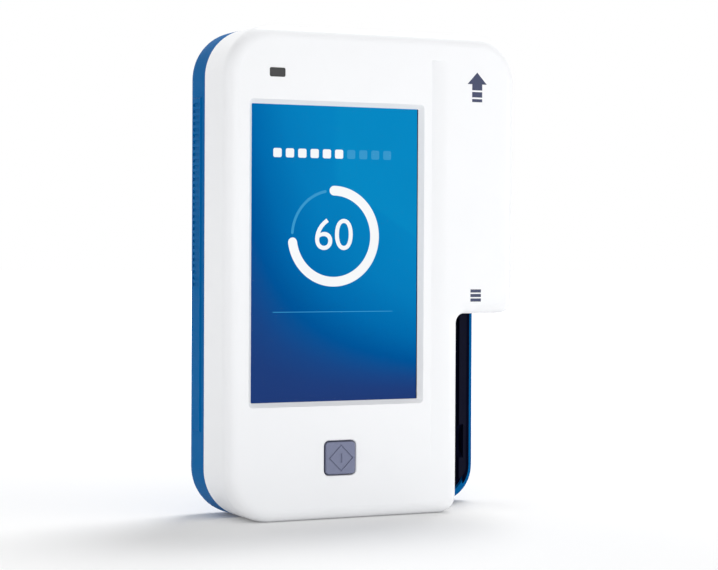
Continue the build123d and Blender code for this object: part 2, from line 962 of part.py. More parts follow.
def make_bay_liner():
    z_span = [liner_bottom, liner_top]
    liner = block([liner_left, liner_right], [liner_floor_depth, case_depth], z_span)
    for side_x, inward in ((liner_left, 1), (liner_right, -1)):
        rail = sorted([side_x, side_x + inward * rail_thickness])
        lip = sorted([side_x, side_x + inward * (rail_thickness + rail_lip)])
        liner += block(rail, [rail_depth, liner_floor_depth + rail_overlap], z_span)
        liner += block(lip, [rail_depth, rail_depth + rail_lip_thickness], z_span)
    return liner & cavity(wall + liner_clearance)


# Display

def make_touch_glass():
    middle = (screen_x, screen_z)
    return panel(middle, glass_width, glass_height, glass_corner, glass_recess, gasket_depth)


def make_display_gasket():
    middle = Pos(screen_x, screen_z)
    ring = middle * RectangleRounded(glass_width, glass_height, glass_corner)
    ring -= middle * Rectangle(window_width + 2 * gasket_inset, window_height + 2 * gasket_inset)
    return slab(ring, gasket_depth, cell_depth)


def make_lcd_panel():
    middle = Pos(screen_x, cell_middle_z)
    cell = middle * Rectangle(cell_width, cell_top - cell_bottom)
    return slab(cell, cell_depth, cell_depth + cell_thickness)


def make_display_frame():
    middle = Pos(screen_x, cell_middle_z)
    outer = middle * RectangleRounded(frame_width, frame_height, frame_wall)
    frame = slab(outer, cell_depth, frame_back_depth)
    room = middle * Rectangle(frame_width - 2 * frame_wall, frame_height - 2 * frame_wall)
    frame -= slab(room, cell_depth, cell_depth + cell_thickness)
    frame -= block(
        [screen_x - tail_gap_half, screen_x + tail_gap_half],
        [cell_depth, cell_depth + cell_thickness],
        [cell_bottom - 2 * (frame_wall + cell_clearance), cell_bottom],
    )
    return frame


def make_display_pads():
    offset = (cell_top - cell_bottom) / 2 - pad_inset
    width = cell_width - pad_inset
    places = [(screen_x, cell_middle_z + side * offset) for side in (-1, 1)]
    return group(
        panel(place, width, display_pad_height, display_pad_corner, frame_back_depth, board_depth)
        for place in places
    )


def make_display_flex():
    """The display's tail: down from the cell, back through the board and up to its socket."""
    start_depth = cell_depth + cell_thickness / 2
    end_depth = board_back + socket_height / 2
    path = FilletPolyline(
        (start_depth, cell_bottom),
        (start_depth, flex_slot_z),
        (end_depth, flex_slot_z),
        (end_depth, flex_socket_z - socket_margin),
        radius=flex_radius,
    )
    band = trace(path, line_width=flex_thickness)
    plane = Plane(
        origin=(screen_x - flex_half_width, depth(0), 0), x_dir=(0, 1, 0), z_dir=(1, 0, 0)
    )
    return extrude(plane * band, amount=2 * flex_half_width)


# Main board and what it carries

def make_main_board():
    left, right = board_left, board_right
    low, high = board_bottom, board_top
    notch = board_notch
    outline = Polyline(
        (left + notch, low),
        (right - board_notch_depth, low),
        (right - board_notch_depth, low + notch),
        (right, low + notch),
        (right, high - notch),
        (right - board_notch_depth, high - notch),
        (right - board_notch_depth, high),
        (left + notch, high),
        (left + notch, high - notch),
        (left, high - notch),
        (left, low + notch),
        (left + notch, low + notch),
        close=True,
    )
    board = slab(make_face(outline), board_depth, board_back)
    hole = small_shank + hole_clearance
    board -= [post(place, hole, 0, case_depth) for place in board_boss_places]
    half = flex_half_width + flex_slot_clearance
    rise = flex_thickness + flex_slot_clearance
    board -= block(
        [screen_x - half, screen_x + half],
        [board_depth - 1, board_back + 1],
        [flex_slot_z - rise, flex_slot_z + rise],
    )
    return board


def make_processor():
    far = board_back + processor_height
    chip = panel(processor_place, processor_size, processor_size, chip_corner, board_back, far)
    return chamfer(edges_at(chip, far), chip_edge)


def make_memory_chips():
    far = board_back + memory_height
    return group(
        panel(place, memory_width, memory_length, chip_edge, board_back, far) for place in memory_places
    )


def make_status_led():
    return block(
        [status_x - led_width / 2, status_x + led_width / 2],
        [board_depth - led_height, board_depth],
        [status_z - led_length / 2, status_z + led_length / 2],
    )


def make_status_window():
    middle = (status_x, status_z)
    corner = status_corner - status_clearance
    light = panel(middle, status_width, status_height, corner, status_recess, face_wall + overlap)
    flange_back = face_wall + status_flange
    flange_width = status_width + 2 * status_flange_lap
    flange_height = status_height + 2 * status_flange_lap
    corner = status_flange_corner
    light += panel(middle, flange_width, flange_height, corner, face_wall, flange_back)
    stem_width = status_width - 4 * status_stem_inset
    stem_height = status_height - 2 * status_stem_inset
    tail = flange_back + status_stem_length
    light += panel(middle, stem_width, stem_height, status_stem_corner, face_wall, tail)
    return light


def make_buzzer():
    far = board_back + buzzer_height
    body = post((sound_x, sound_z), buzzer_radius, board_back, far)
    body = fillet(edges_at(body, far), buzzer_round)
    return body - post((sound_x, sound_z), buzzer_mouth, far - buzzer_mouth, far + 1)


def make_clock_cell():
    near = board_back + clock_base_height
    far = near + clock_height
    body = post(clock_place, clock_radius, near, far)
    body += post(clock_place, clock_base_radius, board_back, near + overlap)
    return fillet(edges_at(body, far), clock_round)


def make_usb_socket():
    """The metal mouth on the board's top edge, with the tongue inside."""
    top = case_height - usb_recess
    plane = Plane(origin=(usb_x, depth(board_back + usb_height / 2), top - usb_length))
    outer = RectangleRounded(usb_width, usb_height, usb_height * 0.49)
    inner_width = usb_width - 2 * usb_wall
    inner_height = usb_height - 2 * usb_wall
    inner = RectangleRounded(inner_width, inner_height, inner_height * 0.49)
    shell = extrude(plane * outer, amount=usb_length)
    shell -= extrude(plane.offset(usb_back_wall) * inner, amount=usb_length)
    tongue = plane.offset(usb_back_wall / 2) * Rectangle(inner_width * 0.8, usb_tongue)
    return shell + extrude(tongue, amount=usb_length - usb_tongue_inset)


# Power key and its switch

def make_power_key():
    size = key_opening - 2 * key_gap
    middle = (key_x, key_z)
    flange_front = face_wall + key_rest_gap
    flange_back = flange_front + key_flange_thickness
    cap = panel(middle, size, size, key_corner - key_gap, -key_proud, flange_front + overlap)
    cap = fillet(edges_at(cap, -key_proud), key_round)
    wide = key_opening + 2 * key_flange
    cap += panel(middle, wide, wide, key_corner, flange_front, flange_back)
    cap += post(middle, stem_radius, flange_front, stem_end_depth)
    cap -= key_mark()
    return cap


def key_mark():
    """The engraved start mark: a diamond ring with a short bar."""
    place = Pos(key_x, key_z)
    side = key_mark_size / math.sqrt(2)
    ring = place * Rot(0, 0, 45) * (
        Rectangle(side, side) - Rectangle(side - key_mark_line, side - key_mark_line)
    )
    bar = place * Rectangle(key_mark_line, key_mark_bar)
    mark = [ring, bar]
    return [slab(shape, -key_proud - 1, -key_proud + key_mark_depth) for shape in mark]


def make_key_plunger():
    end = stem_end_depth + plunger_length
    return post((key_x, key_z), plunger_radius, stem_end_depth, end)


def make_key_switch():
    body = panel(
        (key_x, key_z), switch_size, switch_size, switch_corner, board_depth - switch_height, board_depth
    )
    bore_end = stem_end_depth + plunger_length + key_travel + part_clearance
    radius = plunger_radius + plunger_clearance
    return body - post((key_x, key_z), radius, board_depth - switch_height - 1, bore_end)


# Strip tray

def make_strip_tray():
    middle_z = (tray_bottom + tray_top) / 2
    body_width = tray_right - tray_left
    body_x = (tray_left + tray_right) / 2
    tray = panel(
        (body_x, middle_z), body_width, tray_length, tray_end_round,
        tray_front_depth, tray_back_depth
    )
    flange_left = rack_pitch_x - rack_addendum
    flange_right = tray_right + runner_right
    flange_front = tray_back_depth - runner_thickness
    tray += panel(
        ((flange_left + flange_right) / 2, middle_z), flange_right - flange_left, tray_length,
        tray_end_round, flange_front, tray_back_depth
    )
    tray += rack_teeth()
    groove_top = pad_top - pad_length - pad_spacing
    groove_depth = tray_front_depth + strip_groove_depth
    tray -= block(
        [strip_x - strip_groove_width / 2, strip_x + strip_groove_width / 2],
        [tray_front_depth - 1, groove_depth],
        [tray_bottom - 1, groove_top],
    )
    tray -= calibration_room(pad_clearance)
    scoop = Pos(strip_x, depth(tray_front_depth - scoop_lift), tray_bottom + scoop_height)
    tray -= scoop * Rot(0, 90, 0) * Cylinder(scoop_radius, body_width - 2 * scoop_wall)
    step = (groove_top - tray_bottom - drain_first - drain_last) / (drain_slots - 1)
    for index in range(drain_slots):
        z = tray_bottom + drain_first + index * step
        drain = Pos(strip_x, z) * SlotOverall(drain_length, drain_width, rotation=90)
        tray -= slab(drain, tray_front_depth, tray_back_depth + 1)
    return tray


def calibration_room(clearance):
    """The pocket at the tray's upper end that the white pad fills."""
    half = strip_groove_width / 2 + clearance
    near = tray_front_depth - (1 if clearance else 0)
    return block(
        [strip_x - half, strip_x + half],
        [near, tray_front_depth + pad_thick],
        [pad_top - pad_length - clearance, pad_top + clearance],
    )


def make_calibration_pad():
    return calibration_room(0)


# Tray drive

def make_drive_gear():
    """The wide wheel and its narrow pinion, one moulding on a pin."""
    place = (gear_x, gear_z)
    half_step = 180.0 / gear_teeth
    wheel = slab(
        gear_face_outline(gear_teeth, gear_module, gear_addendum, place, motor_angle + half_step),
        gear_depth,
        gear_depth + gear_face,
    )
    pinion = slab(
        gear_face_outline(pinion_teeth, rack_module, rack_module, place, 180.0 / pinion_teeth),
        pinion_depth,
        pinion_depth + pinion_face,
    )
    gear = wheel + post(place, gear_hub_radius, gear_depth, pinion_depth) + pinion
    ring = Pos(*place) * (Circle(gear_dish_outer) - Circle(gear_dish_inner))
    gear -= slab(ring, gear_depth + gear_face - gear_dish_depth, gear_depth + gear_face)
    return gear - post(place, gear_pin_radius + running_clearance, 0, case_depth)


def make_gear_pin():
    near = plate_depth - gear_pin_head_height
    pin = post((gear_x, gear_z), gear_pin_radius, near, pin_boss_depth + gear_pin_hold)
    return pin + post((gear_x, gear_z), gear_pin_head, near, plate_depth)


def motor_ear_places():
    """Where the motor's two screws stand, level with its shaft."""
    return [(motor_x, motor_z - motor_ear), (motor_x, motor_z + motor_ear)]


def make_drive_motor():
    place = (motor_x, motor_z)
    can = post(place, motor_radius, motor_front_depth, plate_depth)
    can = fillet(edges_at(can, motor_front_depth), motor_round)
    ear_front = plate_depth - motor_ear_thickness
    ears = Pos(*place) * SlotOverall(2 * motor_ear + motor_ear_width, motor_ear_width, rotation=90)
    can += slab(ears, ear_front, plate_depth)
    can += post(place, motor_boss_radius, plate_depth - 1, plate_back)
    can += block(
        [motor_x - terminal_width / 2, motor_x + terminal_width / 2],
        [terminal_near, terminal_near + terminal_thickness],
        [terminal_top - terminal_height - terminal_root, terminal_top],
    )
    hole = small_shank + shaft_clearance
    can -= [post(spot, hole, ear_front - 1, plate_depth + 1) for spot in motor_ear_places()]
    return can - post(place, motor_shaft_radius + shaft_clearance, terminal_near, plate_back + 1)


def make_motor_shaft():
    near = terminal_near + part_clearance
    return post((motor_x, motor_z), motor_shaft_radius, near, gear_depth + gear_face + gear_gap)


def make_motor_pinion():
    place = (motor_x, motor_z)
    outline = gear_face_outline(motor_teeth, gear_module, gear_module, place, motor_angle + 180)
    pinion = slab(outline, plate_back + part_clearance, gear_depth + gear_face + overlap)
    return pinion - post(place, motor_shaft_radius, 0, case_depth)


def make_drive_plate():
    outline = FilletPolyline(
        (plate_left, plate_bottom),
        (arm_left, plate_bottom),
        (arm_left, arm_bottom),
        (arm_right, arm_bottom),
        (arm_right, arm_top),
        (arm_left, arm_top),
        (arm_left, plate_top),
        (plate_left, plate_top),
        radius=plate_corner,
        close=True,
    )
    plate = slab(make_face(outline), plate_depth, plate_back)
    room_width = head_width + 2 * head_clearance
    room_height = head_height + 2 * head_clearance
    plate -= panel((head_x, head_z), room_width, room_height, head_corner, 0, case_depth)
    plate -= post((motor_x, motor_z), motor_boss_radius + motor_boss_clearance, 0, case_depth)
    plate -= post((gear_x, gear_z), gear_pin_radius, 0, case_depth)
    small_holes = post_places + motor_ear_places() + head_screw_places()
    plate -= [post(place, small_shank, 0, case_depth) for place in small_holes]
    slot = SlotOverall(plate_slot_length, plate_slot_width, rotation=90)
    return plate - slab(Pos(*plate_slot_place) * slot, 0, case_depth)


# Optical head

def head_screw_places():
    """The two screws that hold the head's ears to the plate."""
    reach = head_height / 2 + head_ear / 2
    return [(head_x, head_z - reach), (head_x, head_z + reach)]


def optic_screw_places():
    """The two screws that hold the small board to the head."""
    reach = head_height / 2 - optic_screw_inset
    return [(head_x, head_z - reach), (head_x, head_z + reach)]


def light_bores(radius):
    """One straight and two tilted bores that meet on the strip."""
    focus = (head_x, depth(tray_front_depth), head_z)
    length = head_back_depth - head_front_depth + 6
    bores = []
    for tilt in (-light_tilt, 0, light_tilt):
        direction = Rot(90 + tilt, 0, 0)
        bores.append(Pos(*focus) * direction * Cylinder(
            radius, length, align=(Align.CENTER, Align.CENTER, Align.MIN)
        ))
    return bores


def make_head_housing():
    head = panel((head_x, head_z), head_width, head_height, head_corner, head_front_depth, head_back_depth)
    ear_height = head_height + 2 * head_ear
    ear_width = head_width - 2 * head_ear_inset
    ear_front = plate_depth - head_ear_thickness
    head += panel((head_x, head_z), ear_width, ear_height, head_ear_corner, ear_front, plate_depth)
    head -= light_bores(light_bore)
    head -= panel(
        (head_x, head_z), head_window_width, head_window_height, head_window_corner,
        window_seat_depth, head_back_depth + 1
    )
    hole = small_shank + hole_clearance
    head -= [post(place, hole, 0, plate_depth) for place in head_screw_places()]
    pilot = head_front_depth + head_pilot
    head -= [post(place, optic_shank, head_front_depth, pilot) for place in optic_screw_places()]
    return head


def make_head_window():
    width = head_window_width - 2 * head_window_clearance
    height = head_window_height - 2 * head_window_clearance
    corner = head_window_corner - head_window_clearance
    return panel((head_x, head_z), width, height, corner, window_seat_depth, head_back_depth)


def make_optic_board():
    width = head_width + 2 * optic_board_margin_x
    height = head_height + 2 * optic_board_margin_z
    board = panel((head_x, head_z), width, height, optic_board_corner, optic_board_depth, head_front_depth)
    return board - [post(place, optic_shank, 0, case_depth) for place in optic_screw_places()]


def detector_offset():
    """How far the tilted bores open from the middle of the head."""
    return (tray_front_depth - head_front_depth - 0.5) * math.tan(math.radians(light_tilt))


def make_light_source():
    half = source_size / 2
    return block(
        [head_x - half, head_x + half],
        [head_front_depth, head_front_depth + source_height],
        [head_z - half, head_z + half],
    )


def make_light_detectors():
    half = detector_size / 2
    places = [head_z + side * detector_offset() for side in (-1, 1)]
    return group(
        block(
            [head_x - half, head_x + half],
            [head_front_depth, head_front_depth + detector_height],
            [z - half, z + half],
        )
        for z in places
    )


def make_home_sensor():
    """The reflective sensor behind the plate that sees the white pad."""
    z = pad_top - pad_length / 2
    return block(
        [strip_x - sensor_width / 2, strip_x + sensor_width / 2],
        [plate_back, plate_back + sensor_height],
        [z - sensor_length / 2, z + sensor_length / 2],
    )


# Cables and sockets

def make_ribbon_sockets():
    """The head's socket on the right of the board, and the display's socket."""
    reach = ribbon_half + socket_margin
    tail = flex_half_width + socket_margin
    return group(
        [
            block(
                [head_ribbon_x - 4 * socket_margin, head_ribbon_x],
                [board_back, socket_top],
                [head_ribbon_z - reach, head_ribbon_z + reach],
            ),
            block(
                [screen_x - tail, screen_x + tail],
                [board_back, socket_top],
                [flex_socket_z - socket_margin, flex_socket_z + 2 * socket_margin],
            ),
        ]
    )


def make_head_ribbon():
    """A flat cable from the main board's socket to the small board's edge."""
    start_depth = (board_back + socket_top) / 2
    end_depth = optic_board_depth - ribbon_thickness / 2
    path = FilletPolyline(
        (head_ribbon_x, start_depth),
        (head_ribbon_bend, start_depth),
        (head_ribbon_bend + head_ribbon_lap, end_depth),
        (head_x - head_width / 2 + head_ribbon_lap, end_depth),
        radius=3 * ribbon_thickness,
    )
    band = trace(path, line_width=ribbon_thickness)
    low = head_ribbon_z - ribbon_half
    plane = Plane(origin=(0, depth(0), low), x_dir=(1, 0, 0), z_dir=(0, 0, 1))
    return extrude(plane * band, amount=2 * ribbon_half)


def make_motor_ribbon():
    """A short flat cable from the motor's terminal to the main board."""
    middle_depth = terminal_near + terminal_thickness / 2
    bend_z = terminal_top + motor_ribbon_rise
    path = FilletPolyline(
        (middle_depth, terminal_top),
        (middle_depth, bend_z),
        (board_back, bend_z),
        radius=1.0,
    )
    band = trace(path, line_width=ribbon_thickness)
    left = motor_x - motor_ribbon_half
    plane = Plane(origin=(left, depth(0), 0), x_dir=(0, 1, 0), z_dir=(1, 0, 0))
    return extrude(plane * band, amount=2 * motor_ribbon_half)


# Battery and its door

def make_battery_pack():
    width = battery_width - 2 * battery_clearance
    height = battery_height - 4 * battery_clearance
    middle = (battery_middle_x, battery_middle_z - battery_clearance)
    far = battery_floor_depth + battery_thickness
    pack = panel(middle, width, height, battery_round, battery_floor_depth, far)
    pack = fillet(edges_at(pack, far) + edges_at(pack, battery_floor_depth), battery_round / 2)
    top = middle[1] + height / 2
    half = contact_pitch + contact_width / 2 + 3 * part_clearance
    near = battery_floor_depth + 1.5 * contact_slot_depth
    return pack - block(
        [battery_middle_x - half, battery_middle_x + half],
        [near, near + 0.8 * contact_slot_length],
        [top - 0.5, top + 1],
    )


def make_contact_block():
    low = battery_top + well_wall
    half = contact_pitch + contact_width
    near = battery_floor_depth - contact_slot_depth
    body = block(
        [battery_middle_x - half, battery_middle_x + half],
        [near, near + contact_slot_length + 2],
        [low, low + contact_block_height],
    )
    for x in contact_places():
        body -= contact_leaf(x, contact_gap)
    return body


def contact_leaf(x, clearance):
    """A bent leaf: straight back from the board through its block, then down into the well."""
    half = contact_width / 2 + clearance
    thick = contact_thickness / 2 + clearance
    tip_depth = battery_floor_depth + contact_tip_depth
    leg_z = battery_top + well_wall + contact_block_height / 2
    leg = block([x - half, x + half], [board_back, tip_depth], [leg_z - thick, leg_z + thick])
    foot_span = [tip_depth - 2 * thick, tip_depth]
    foot = block([x - half, x + half], foot_span, [battery_top - 3 * battery_clearance, leg_z + thick])
    return leg + foot


def make_battery_contacts():
    return group(contact_leaf(x, 0) for x in contact_places())


def make_battery_door():
    middle = (battery_middle_x, battery_middle_z)
    door = panel(middle, door_width, door_height, door_corner, door_inner_depth, case_depth)
    edge = Pos(battery_middle_x, depth(door_hinge_depth), door_hinge_z) * Rot(0, 90, 0)
    half = door_width / 2
    leaf = block(
        [battery_middle_x - half, battery_middle_x + half],
        [door_inner_depth, case_depth],
        [door_bottom, door_hinge_z],
    )
    door &= leaf + edge * Cylinder(door_thickness / 2, door_width)
    tab_far = door_inner_depth - door_tab_thickness
    tab_low = door_top - door_ledge + 0.1
    for tab_x in door_tab_places():
        x_span = [tab_x - door_tab_width / 2, tab_x + door_tab_width / 2]
        door += block(x_span, [tab_far, door_inner_depth + 0.2], [tab_low, door_top - 0.1])
        tab_top = door_top + door_tab_length
        door += block(x_span, [tab_far, door_inner_depth - 0.1], [tab_low, tab_top])
    x_span = [battery_middle_x - door_snap_width / 2, battery_middle_x + door_snap_width / 2]
    snap_low = door_bottom + door_gap
    snap_high = snap_low + door_snap_wall
    snap_far = door_inner_depth - door_snap_reach
    door += block(x_span, [snap_far, door_inner_depth + 0.2], [snap_low, snap_high])
    hook_span = [snap_far, snap_far + door_snap_hook_thickness]
    door += block(x_span, hook_span, [snap_low - door_snap_hook, snap_high])
    for index in range(door_ridges):
        z = door_bottom + 7 + index * door_ridge_pitch
        door -= block(
            [battery_middle_x - door_ridge_half, battery_middle_x + door_ridge_half],
            [case_depth - door_ridge_depth, case_depth + 1],
            [z - 0.2 * door_ridge_pitch, z + 0.2 * door_ridge_pitch],
        )
    return door


# Fasteners and feet

def small_screws(places, head_depth, reach, towards_back):
    """Like screws at several places, their heads' undersides at one depth."""
    sizes = (small_shank, small_head, small_head_height)
    return group(screw(place, head_depth, reach, *sizes, towards_back) for place in places)


def make_case_screws():
    sizes = (case_shank, case_head, case_head_height)
    return group(
        screw(place, case_seat_depth, case_screw_length, *sizes, False)
        for place in case_screw_places
    )


def make_board_screws():
    reach = board_screw_length + board_thickness
    return small_screws(board_boss_places, board_back, reach, False)


def make_chassis_screws():
    return small_screws(post_places, plate_depth, plate_screw_length, True)


def make_motor_screws():
    ear_front = plate_depth - motor_ear_thickness
    return small_screws(motor_ear_places(), ear_front, plate_back - ear_front, True)


def make_head_screws():
    ear_front = plate_depth - head_ear_thickness
    return small_screws(head_screw_places(), ear_front, plate_back - ear_front, True)


def make_optic_screws():
    sizes = (optic_shank, optic_head, optic_head_height)
    return group(
        screw(place, optic_board_depth, optic_screw_length, *sizes, True)
        for place in optic_screw_places()
    )


def make_rubber_feet():
    feet = []
    far = case_depth + foot_proud
    for place in foot_places:
        foot = post(place, foot_radius, case_depth - foot_recess, far)
        feet.append(fillet(edges_at(foot, far), foot_round))
    return group(feet)


def main():
    os.makedirs("parts", exist_ok=True)
    nodes = {
        "front_cover": make_front_cover,
        "rear_shell": make_rear_shell,
        "bay_liner": make_bay_liner,
        "touch_glass": make_touch_glass,
        "display_gasket": make_display_gasket,
        "lcd_panel": make_lcd_panel,
        "display_frame": make_display_frame,
        "display_pads": make_display_pads,
        "display_flex": make_display_flex,
        "main_board": make_main_board,
        "processor": make_processor,
        "memory_chips": make_memory_chips,
        "status_led": make_status_led,
        "status_window": make_status_window,
        "buzzer": make_buzzer,
        "clock_cell": make_clock_cell,
        "usb_socket": make_usb_socket,
        "power_key": make_power_key,
        "key_plunger": make_key_plunger,
        "key_switch": make_key_switch,
        "strip_tray": make_strip_tray,
        "calibration_pad": make_calibration_pad,
        "drive_plate": make_drive_plate,
        "drive_gear": make_drive_gear,
        "gear_pin": make_gear_pin,
        "drive_motor": make_drive_motor,
        "motor_shaft": make_motor_shaft,
        "motor_pinion": make_motor_pinion,
        "home_sensor": make_home_sensor,
        "head_housing": make_head_housing,
        "head_window": make_head_window,
        "optic_board": make_optic_board,
        "light_source": make_light_source,
        "light_detectors": make_light_detectors,
        "ribbon_sockets": make_ribbon_sockets,
        "head_ribbon": make_head_ribbon,
        "motor_ribbon": make_motor_ribbon,
        "battery_pack": make_battery_pack,
        "battery_contacts": make_battery_contacts,
        "contact_block": make_contact_block,
        "battery_door": make_battery_door,
        "case_screws": make_case_screws,
        "board_screws": make_board_screws,
        "chassis_screws": make_chassis_screws,
        "motor_screws": make_motor_screws,
        "head_screws": make_head_screws,
        "optic_screws": make_optic_screws,
        "rubber_feet": make_rubber_feet,
    }
    for name, make in nodes.items():
        export_step(make(), f"parts/{name}.step")


if __name__ == "__main__":
    main()
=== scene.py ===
import json
import math

import bmesh
import bpy
from mathutils import Matrix, Vector


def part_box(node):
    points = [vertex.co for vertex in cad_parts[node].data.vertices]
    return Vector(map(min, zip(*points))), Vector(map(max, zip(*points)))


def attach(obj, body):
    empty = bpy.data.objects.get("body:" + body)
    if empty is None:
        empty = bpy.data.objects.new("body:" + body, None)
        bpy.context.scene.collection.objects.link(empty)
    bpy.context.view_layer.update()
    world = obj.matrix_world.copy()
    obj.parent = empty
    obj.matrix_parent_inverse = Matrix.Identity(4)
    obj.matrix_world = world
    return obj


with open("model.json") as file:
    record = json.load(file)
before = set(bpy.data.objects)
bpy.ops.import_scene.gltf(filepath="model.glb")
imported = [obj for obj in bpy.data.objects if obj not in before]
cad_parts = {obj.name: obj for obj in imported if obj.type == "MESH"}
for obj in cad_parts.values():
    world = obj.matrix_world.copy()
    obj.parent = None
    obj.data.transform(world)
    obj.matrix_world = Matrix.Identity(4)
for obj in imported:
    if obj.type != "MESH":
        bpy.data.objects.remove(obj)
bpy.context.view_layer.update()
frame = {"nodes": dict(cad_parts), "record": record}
nodes = frame["nodes"]

MM = 0.001

# Camera, fitted to the screen, the key and the straight edges of the case

IMAGE_WIDTH = 718
FOCAL_PIXELS = 2081.1
SENSOR_WIDTH = 36.0
CLIP_START = 0.01
CAMERA_PLACE = Vector((-270.18, -558.12, 78.43)) * MM
CAMERA_YAW = math.radians(26.0)
CAMERA_PITCH = math.radians(1.001)
CAMERA_ROLL = math.radians(0.272)


def make_camera():
    """The photograph's view: from the front left, level with the middle of the case."""
    forward = Vector(
        (
            math.sin(CAMERA_YAW) * math.cos(CAMERA_PITCH),
            math.cos(CAMERA_YAW) * math.cos(CAMERA_PITCH),
            -math.sin(CAMERA_PITCH),
        )
    )
    level = Vector((math.cos(CAMERA_YAW), -math.sin(CAMERA_YAW), 0))
    upward = level.cross(forward)
    right = level * math.cos(CAMERA_ROLL) + upward * math.sin(CAMERA_ROLL)
    up = upward * math.cos(CAMERA_ROLL) - level * math.sin(CAMERA_ROLL)
    camera_data = bpy.data.cameras.new("camera")
    camera_data.sensor_width = SENSOR_WIDTH
    camera_data.lens = FOCAL_PIXELS / IMAGE_WIDTH * SENSOR_WIDTH
    camera_data.clip_start = CLIP_START
    camera = bpy.data.objects.new("camera", camera_data)
    bpy.context.scene.collection.objects.link(camera)
    turn = Matrix((right, up, -forward)).transposed().to_4x4()
    camera.matrix_world = Matrix.Translation(CAMERA_PLACE) @ turn
    bpy.context.scene.camera = camera


# Materials

NOISE_LOW = 0.3
NOISE_HIGH = 0.7


def linear(*srgb):
    """A colour written as 0 to 255 values, as Blender's sockets want it."""
    out = []
    for value in srgb:
        c = value / 255
        out.append(c / 12.92 if c <= 0.04045 else ((c + 0.055) / 1.055) ** 2.4)
    return (*out, 1.0)


def darker(colour, share):
    return (*[c * share for c in colour[:3]], 1.0)


class Nodes:
    """A material with a short way to add linked nodes."""

    def __init__(self, name):
        self.material = bpy.data.materials.new(name)
        self.material.use_nodes = True
        self.tree = self.material.node_tree
        self.shader = self.tree.nodes["Principled BSDF"]
        self.place = self.add("ShaderNodeTexCoord").outputs["Object"]

    def add(self, kind, inputs=None, **settings):
        node = self.tree.nodes.new(kind)
        for key, value in settings.items():
            setattr(node, key, value)
        for key, value in (inputs or {}).items():
            self.feed(value, node.inputs[key])
        return node

    def feed(self, value, socket):
        if isinstance(value, bpy.types.NodeSocket):
            self.tree.links.new(value, socket)
        else:
            socket.default_value = value

    def shade(self, socket_name, value):
        """Feeds one socket of the material's own shader."""
        self.feed(value, self.shader.inputs[socket_name])

    def noise(self, scale, detail=3.0, place=None):
        node = self.add("ShaderNodeTexNoise", {"Scale": scale, "Detail": detail})
        self.feed(place or self.place, node.inputs["Vector"])
        return node.outputs["Fac"]

    def remap(self, value, from_low, from_high, low=0.0, high=1.0):
        node = self.add(
            "ShaderNodeMapRange",
            {
                "Value": value,
                "From Min": from_low,
                "From Max": from_high,
                "To Min": low,
                "To Max": high,
            },
        )
        return node.outputs["Result"]

    def spread(self, noise, low, high):
        """A noise value stretched to a range."""
        return self.remap(noise, NOISE_LOW, NOISE_HIGH, low, high)

    def math(self, operation, first, second=0.0):
        node = self.add("ShaderNodeMath", {0: first, 1: second}, operation=operation)
        return node.outputs[0]

    def mix(self, share, first, second):
        """One colour over another; the sockets are numbered, as their names repeat."""
        node = self.add("ShaderNodeMix", {0: share, 6: first, 7: second}, data_type="RGBA")
        return node.outputs[2]

    def patchy(self, scale, colour, vary):
        """A colour that darkens in soft patches, by a share."""
        return self.mix(self.spread(self.noise(scale), 0, 1), colour, darker(colour, 1 - vary))

    def gloss(self, noise, roughness, smoothest, roughest):
        """Lets a noise swing the roughness between two shares of its usual value."""
        self.shade("Roughness", self.spread(noise, roughness * smoothest, roughness * roughest))

    def bump(self, height, strength, distance):
        node = self.add(
            "ShaderNodeBump", {"Strength": strength, "Distance": distance, "Height": height}
        )
        return node.outputs["Normal"]


def moulded(name, colour, roughness, grain=900.0, depth=0.02, vary=0.05, specular=0.4):
    """Moulded plastic: a spark-eroded grain of some depth (mm), slightly uneven in colour."""
    made = Nodes(name)
    made.shade("Base Color", made.patchy(scale=25.0, colour=colour, vary=vary))
    made.gloss(made.noise(scale=140.0), roughness, smoothest=0.9, roughest=1.1)
    fine = made.noise(scale=grain, detail=4.0)
    made.shade("Normal", made.bump(fine, strength=0.25, distance=depth * MM))
    made.shade("Specular IOR Level", specular)
    return made.material


def metal(name, colour, roughness, brushed, vary=0.12):
    """Sheet or turned metal with drawn lines along one direction and a little tarnish."""
    made = Nodes(name)
    stretch = made.add("ShaderNodeMapping", {"Vector": made.place, "Scale": brushed})
    lines = made.noise(scale=700.0, place=stretch.outputs["Vector"])
    made.shade("Base Color", made.patchy(scale=90.0, colour=colour, vary=vary))
    made.gloss(lines, roughness, smoothest=0.75, roughest=1.3)
    made.shade("Normal", made.bump(lines, strength=0.15, distance=0.01 * MM))
    made.shade("Metallic", 1.0)
    return made.material


def clear(name, colour, roughness, ior, transmission=1.0):
    """Glass or clear plastic with faint unevenness and dust in its gloss."""
    made = Nodes(name)
    made.shade("Base Color", made.patchy(scale=60.0, colour=colour, vary=0.03))
    made.gloss(made.noise(scale=300.0), roughness, smoothest=0.7, roughest=1.3)
    made.shade("IOR", ior)
    made.shade("Transmission Weight", transmission)
    made.shade("Specular IOR Level", 0.2)
    return made.material


MASK_GREEN = (0.008, 0.11, 0.045, 1)
MASK_DARK_GREEN = (0.006, 0.085, 0.036, 1)
TRACK_GREEN = (0.02, 0.2, 0.07, 1)
PAD_TIN = (0.6, 0.58, 0.5, 1)
PAD_RADIUS = 0.16
PAD_EDGE = 0.03


